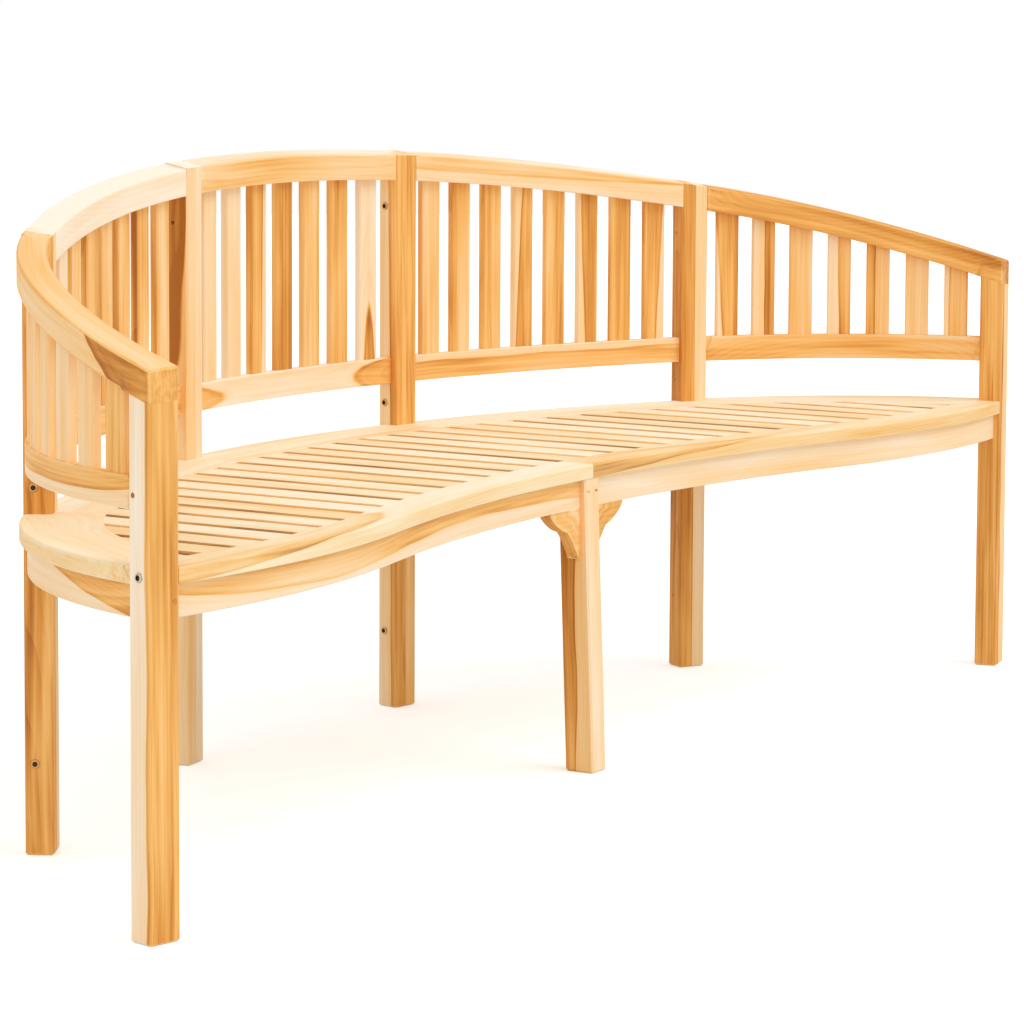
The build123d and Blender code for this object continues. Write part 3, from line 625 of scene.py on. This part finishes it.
# %% Depth of colour
FIBRE = Grain(700.0, 14.0, 3.0)
STREAK = Grain(130.0, 2.5, 2.0)
CLOUD = Grain(24.0, 3.0, 2.0)
STREAK_DEPTH = 0.6
CLOUD_DEPTH = 0.8
MEAN_DRIFT = -0.7
SAP_DRIFT = 0.6
RIM_DEPTH = 0.16
FIBRE_DARK = (0.55, 0.75)
FIBRE_DEPTH = 0.05


def wood_depth(tree, grain, seed, inside, late, fibre, line_strength):
    """How deep the colour is, from 0 for cream to 1 for brown."""
    _, tone, pale = parts_of(tree, attribute(tree, "board").outputs["Vector"])
    heart, rim = heart_and_rim(tree, inside)
    streak = noise(tree, grain, seed, STREAK)
    cloud = noise(tree, grain, seed, CLOUD)
    clouds = math(tree, "MULTIPLY_ADD", cloud, CLOUD_DEPTH, MEAN_DRIFT)
    drift = math(tree, "MULTIPLY_ADD", streak, STREAK_DEPTH, clouds)
    lines = math(tree, "MULTIPLY", late, math(tree, "MULTIPLY", cloud, line_strength))
    deep = math(tree, "ADD", tone, math(tree, "MULTIPLY_ADD", rim, RIM_DEPTH, drift))
    light = math(tree, "ADD", pale, math(tree, "MULTIPLY", drift, SAP_DRIFT))
    depth = math(tree, "MULTIPLY_ADD", heart, math(tree, "SUBTRACT", deep, light), light)
    depth = math(tree, "ADD", depth, lines)
    depth = math(tree, "MULTIPLY_ADD", ramp(tree, fibre, *FIBRE_DARK), FIBRE_DEPTH, depth)
    # each face's shade adds painted shade, deeper, and painted light, paler, to the depth
    return math(tree, "ADD", depth, attribute(tree, "shade").outputs["Fac"])


# %% Teak material
TEAK_STEPS = (
    (0.0, paint(255, 242, 221)), (0.2, paint(253, 225, 187)), (0.4, paint(252, 209, 149)),
    (0.6, paint(247, 187, 104)), (0.8, paint(222, 151, 67)), (1.0, paint(181, 109, 39)),
)
# The seat's ramp is yellower, a painted light for the bright top light, and its deep end is the painted shade
# of the gaps between the slats.
SEAT_STEPS_WITH_PAINTED_LIGHT = (
    (0.0, paint(254, 244, 217)), (0.2, paint(252, 231, 189)), (0.4, paint(250, 212, 152)),
    (0.6, paint(243, 186, 106)), (0.8, paint(196, 146, 86)), (1.0, paint(150, 108, 60)),
)
RING = 0.0056
LATE_POWER = 2.5
SMOOTHEST = 0.50
FIBRE_ROUGH = 0.22
SANDED_SHINE = 0.25
FIBRE_PIT = -0.7
LATE_PIT = -0.3
PIT_STRENGTH = 0.25
PIT_DEPTH = 0.0004


def teak(name, line_strength, steps=TEAK_STEPS):
    """Sanded teak: colour from the depth, a rougher skin on the fibres and pits between them."""
    material = bpy.data.materials.new(name)
    material.use_nodes = True
    tree = material.node_tree
    wood = tree.nodes["Principled BSDF"]

    grain = attribute(tree, "grain").outputs["Vector"]
    seed = attribute(tree, "seed").outputs["Fac"]
    heart_radius = parts_of(tree, attribute(tree, "board").outputs["Vector"])[0]
    radius = ring_radius(tree, grain, seed)
    inside = math(tree, "SUBTRACT", heart_radius, radius)
    year = math(tree, "FRACT", math(tree, "DIVIDE", radius, RING))
    late = math(tree, "POWER", year, LATE_POWER)
    fibre = noise(tree, grain, seed, FIBRE)
    depth = wood_depth(tree, grain, seed, inside, late, fibre, line_strength)
    tree.links.new(colour_ramp(tree, depth, steps), wood.inputs["Base Color"])

    rough = math(tree, "MULTIPLY_ADD", fibre, FIBRE_ROUGH, SMOOTHEST)
    tree.links.new(rough, wood.inputs["Roughness"])
    wood.inputs["Specular IOR Level"].default_value = SANDED_SHINE
    height = math(tree, "MULTIPLY_ADD", fibre, FIBRE_PIT, math(tree, "MULTIPLY", late, LATE_PIT))
    bump = tree.nodes.new("ShaderNodeBump")
    bump.inputs["Strength"].default_value = PIT_STRENGTH
    bump.inputs["Distance"].default_value = PIT_DEPTH
    tree.links.new(height, bump.inputs["Height"])
    tree.links.new(bump.outputs["Normal"], wood.inputs["Normal"])
    return material


# %% [markdown]
# ## Dressing the boards
# Each wooden node gets a copy that stands for it. The table says, for each family of boards, whether they
# stand upright, how far their corners are eased, which faces are painted deeper or paler than the rest, mostly
# as painted shade on sides and in gaps and painted light on tops and eased corners, and the range of tones
# and trunks that the family was sorted from. The left arm rail is planed past its heart on the top
# and the front end. Seen next to the photograph the back slats of the solids are a little lean, so their
# copies are about a millimetre wider and two thicker: in the left part, which is seen nearly edge on, that
# closes most of the gaps between them, as on the real bench.

# %% Dress a node
SMOOTH = radians(38)


def stand_in(name, shape, finish):
    """Makes the piece that stands for a node, from a bmesh that is used up."""
    mesh = bpy.data.meshes.new(name + "_look")
    shape.to_mesh(mesh)
    shape.free()
    mesh.shade_smooth()
    mesh.set_sharp_from_angle(angle=SMOOTH)
    mesh.materials.append(finish)
    piece = bpy.data.objects.new(name + "_look", mesh)
    bpy.context.scene.collection.objects.link(piece)
    weighted = piece.modifiers.new("flat_faces", "WEIGHTED_NORMAL")
    weighted.keep_sharp = True
    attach(piece, "root")
    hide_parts(name)


def swell(mesh, wider, thicker):
    """Makes each upright board a little wider and thicker about its own middle."""
    for board in loose_boards(mesh):
        centre, _, across, through = plank_frame([v.co for v in board], True)
        for vertex in board:
            offset = vertex.co - centre
            vertex.co += across * offset.dot(across) * wider + through * offset.dot(through) * thicker


def dress(name, family):
    """Makes the copy that stands for a wooden node, and says how many boards it has."""
    boards = eased_copy(name, family)
    swell(boards, *family.swell)
    count = lay_in_trunk(boards, name, family.upright, family.tones, family.hearts)
    stand_in(name, boards, finishes[family.slot])
    return count


# %% Families of boards
FULLER_SLATS = (0.03, 0.2)


class Family(NamedTuple):
    starts: tuple
    slot: str
    upright: bool = False
    ease: float = 0.0
    # painted shade on the upright sides of the boards
    rough_sides: float = 0.0
    # painted light on the tops of the boards, paler where it is negative
    top_shade: float = 0.0
    # eased corners are painted a little paler as a painted highlight, unless a family paints them deeper as
    # painted shade
    eased_shade: float = -0.1
    # faces not turned to the front: painted shade for most families, a paler tone where it is negative
    off_front: float = 0.0
    sap_top: float = 0.0
    swell: tuple = (0.0, 0.0)
    tones: tuple = TONES
    hearts: tuple = HEARTS


FAMILIES = (
    # The top ends of the posts are painted paler, as painted light from above.
    Family(("front_post", "corner_post", "back_post"), "teak_post", upright=True, top_shade=-0.3),
    # The middle leg's faces that are not turned to the front are painted deeper, as painted shade.
    Family(("middle_leg",), "teak_post", upright=True, off_front=0.2),
    # The tops of the top rails are painted paler, as painted light from above.
    Family(("top_rail",), "teak_rail", ease=0.0025, top_shade=-0.28),
    Family(("arm_rail_left",), "teak_rail", ease=0.0025, off_front=-0.25, sap_top=1.0),
    # The right arm rail's top is painted a touch paler, as painted light from above.
    Family(("arm_rail_right",), "teak_rail", ease=0.0025, top_shade=-0.03),
    Family(("lower_rail",), "teak_rail", ease=0.002),
    # In the left part the slats' faces not turned to the front are painted deeper, as painted shade on their
    # sides.
    Family(("back_slats_side_left",), "teak_slat", upright=True, off_front=0.2, swell=FULLER_SLATS),
    Family(
        ("back_slats_middle", "back_slats_side_right", "arm_slats"), "teak_slat", upright=True,
        swell=FULLER_SLATS,
    ),
    # The seat slats' sides are painted deep, and their eased corners deeper still, as the painted shade in the
    # gaps between the slats.
    Family(
        ("seat_slats",), "teak_seat", ease=0.0025, rough_sides=0.7, eased_shade=0.55, tones=(-0.05, 0.2),
        hearts=(100, 260),
    ),
    # The seat rails' tops are painted paler, as painted light from above.
    Family(
        ("seat_front_rail", "seat_end_rail", "seat_back_rail"), "teak_seat", ease=0.0025, top_shade=-0.2,
        tones=(0.22, 0.4),
    ),
    Family(("front_apron", "end_apron", "back_apron"), "teak_frame", ease=0.0015, hearts=(40, 120)),
    # The brackets' edges, not turned to the front, are painted deeper as painted shade.
    Family(("leg_bracket",), "teak_frame", ease=0.0015, off_front=0.25),
    # The battens and bearers under the seat get painted shade on their sides.
    Family(("seat_batten", "seat_bearer"), "teak_frame", ease=0.001, rough_sides=0.2),
)
LINE_STRENGTH = {"teak_post": 0.18, "teak_rail": 0.15, "teak_slat": 0.14, "teak_frame": 0.16}
SEAT_LINES = 0.12

finishes = {slot: teak(slot, strength) for slot, strength in LINE_STRENGTH.items()}
finishes["teak_seat"] = teak("teak_seat", SEAT_LINES, SEAT_STEPS_WITH_PAINTED_LIGHT)
for family in FAMILIES:
    names = [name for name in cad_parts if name.startswith(family.starts) and "screw" not in name]
    total = sum(dress(name, family) for name in names)
    print(family.slot, len(names), "nodes,", total, "boards, ease", family.ease)

# %% [markdown]
# ## Pegs and screws
# Two kinds of round pieces hold the joints. Teak pegs lock the tenons and are cut off flush, so only their
# end grain shows, dark except where a peg was cut from the post's own wood. The half posts and the seat rails
# are pulled together with steel screws, whose low domed heads have a hexagon socket for the key; those in the
# posts are plated yellow, the others grey. Both are turned shapes, so one function makes them: rings of points
# about an axis, round or six-sided, with faces between them. The solids only give simple rods, and their
# place, axis and radius are measured from those.

# %% Turned shapes
TURNED_SIDES = 24
ROUND, HEXAGON = 0, 6


def rods(name):
    """The rods of a node: middle, axis that points to the thicker end, half length and widest radius."""
    solids = bmesh.new()
    solids.from_mesh(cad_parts[name].data)
    bmesh.ops.remove_doubles(solids, verts=solids.verts, dist=WELD)
    found = []
    for board in loose_boards(solids):
        points = [v.co.copy() for v in board]
        balance = sum(points, Vector()) / len(points)
        axis = chord_direction(points, balance)
        lengths = [(p - balance).dot(axis) for p in points]
        widths = [((p - balance) - axis * d).length for p, d in zip(points, lengths)]
        half = (max(lengths) - min(lengths)) / 2
        middle = balance + axis * (max(lengths) + min(lengths)) / 2
        heavy_end = axis if lengths[widths.index(max(widths))] > 0 else -axis
        found.append((middle, heavy_end, half, max(widths)))
    solids.free()
    return found


def turned(mesh, middle, axis, rings, recess):
    """Adds a closed turned shape: each ring is its height along the axis, its radius and ROUND or HEXAGON."""
    level = axis.cross(UP).normalized()
    upward = level.cross(axis)
    loops = []
    for height, radius, corners in rings:
        loop = []
        for i in range(TURNED_SIDES):
            angle = 2 * pi * i / TURNED_SIDES
            reach = radius / cos(angle % (2 * pi / corners) - pi / corners) if corners else radius
            spoke = level * cos(angle) + upward * sin(angle)
            vertex = mesh.verts.new(middle + axis * height + spoke * reach)
            vertex[recess] = 1.0 if corners else 0.0
            loop.append(vertex)
        loops.append(loop)
    for lower, upper in zip(loops, loops[1:]):
        for i in range(TURNED_SIDES):
            mesh.faces.new((lower[i - 1], lower[i], upper[i], upper[i - 1]))
    mesh.faces.new(loops[0][::-1])
    mesh.faces.new(loops[-1])


# %% Pegs
PEG_DOME = 0.0004
PEG_END = 0.86
PEG_LINES = 0.3
DARK_PEG = 0.88
MATCHED_PEG = 0.68
FRONT_POST_X = 0.9
SEAT_TOP = 0.44


def peg_rings(half, radius):
    """A rod with a low dome on both ends."""
    straight = half - PEG_DOME
    end = radius * PEG_END
    return ((-half, end, ROUND), (-straight, radius, ROUND), (straight, radius, ROUND), (half, end, ROUND))


pegs = bmesh.new()
flat = pegs.verts.layers.float.new("recess")
KNOWN["tenon_pegs"] = []
for middle, axis, half, radius in rods("tenon_pegs"):
    turned(pegs, middle, axis, peg_rings(half, radius), flat)
    matched = abs(middle.x) > FRONT_POST_X and middle.z < SEAT_TOP
    KNOWN["tenon_pegs"].append(plain(MATCHED_PEG if matched else DARK_PEG))
    print("peg at", [round(x, 3) for x in middle], "matched" if matched else "dark")
lay_in_trunk(pegs, "tenon_pegs", False)
stand_in("tenon_pegs", pegs, teak("teak_peg", PEG_LINES))

# %% Steel
STEEL_GRAIN = Grain(900.0, 900.0, 3.0)
NO_SEED = (0.0, 0.0, 0.0)
DULL_DEPTH = 0.35
# The hexagon socket is painted nearly black, for grease and the painted shade in its recess.
GREASE_AND_SHADE_DEPTH = 0.9
GREASE_AND_SOCKET_SHADE = paint(62, 46, 32)
STEEL_SMOOTHEST = 0.25
STEEL_ROUGH = 0.3
PLATED = 0.8


def steel(name, bright, dull):
    """Plated screw steel, nearly black where the socket holds grease and shade."""
    material = bpy.data.materials.new(name)
    material.use_nodes = True
    tree = material.node_tree
    metal = tree.nodes["Principled BSDF"]
    place = tree.nodes.new("ShaderNodeTexCoord").outputs["Object"]
    grain = noise(tree, place, NO_SEED, STEEL_GRAIN)
    depth = math(tree, "MULTIPLY_ADD", grain, DULL_DEPTH, attribute(tree, "recess").outputs["Fac"])
    steps = ((0.0, bright), (DULL_DEPTH, dull), (GREASE_AND_SHADE_DEPTH, GREASE_AND_SOCKET_SHADE))
    tree.links.new(colour_ramp(tree, depth, steps), metal.inputs["Base Color"])
    rough = math(tree, "MULTIPLY_ADD", grain, STEEL_ROUGH, STEEL_SMOOTHEST)
    tree.links.new(rough, metal.inputs["Roughness"])
    metal.inputs["Metallic"].default_value = PLATED
    return material


# %% Screws
HEAD_HEIGHT = 0.0025
SHANK_SHARE = 0.4
TIP = 0.004
TIP_SHARE = 0.2
# the domed head from its seat over the rim: shares of its height and of its radius
HEAD_PROFILE = ((0.0, 0.98), (0.45, 0.98), (0.8, 0.88), (1.0, 0.70), (0.95, 0.60))
SOCKET_SHARE = 0.5
SOCKET_LIP = 0.12
SOCKET_TAPER = 0.94
SOCKET_DEPTH = 0.002
DRILL_DEPTH = 1.15
DRILL_SHARE = 0.1


def screw_rings(half, radius):
    """Rings from the tip to the head, round the domed rim and down into the hexagon socket."""
    seat = half - HEAD_HEIGHT
    shank = radius * SHANK_SHARE
    socket = radius * SOCKET_SHARE
    return (
        (-half, shank * TIP_SHARE, ROUND), (TIP - half, shank, ROUND), (seat, shank, ROUND),
        *((seat + HEAD_HEIGHT * up, radius * out, ROUND) for up, out in HEAD_PROFILE),
        (half - HEAD_HEIGHT * SOCKET_LIP, socket, HEXAGON),
        (half - SOCKET_DEPTH, socket * SOCKET_TAPER, HEXAGON),
        (half - SOCKET_DEPTH * DRILL_DEPTH, radius * DRILL_SHARE, HEXAGON),
    )


SCREW_STEEL = {
    "post_screws": steel("steel_yellow", paint(222, 176, 116), paint(184, 134, 80)),
    "seat_rail_screws": steel("steel", paint(214, 204, 188), paint(160, 146, 126)),
}
for name, finish in SCREW_STEEL.items():
    screws = bmesh.new()
    recess = screws.verts.layers.float.new("recess")
    found = rods(name)
    for middle, axis, half, radius in found:
        turned(screws, middle, axis, screw_rings(half, radius), recess)
    stand_in(name, screws, finish)
    print(name, len(found), "screws, head radius", round(found[0][3] * MM_PER_M, 1), "mm")

# %% [markdown]
# ## Size and end
# The finished look has to stay inside the box of the solids; the last cell measures the box of the finished
# look.

# %% Measure the finished look
low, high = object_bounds()
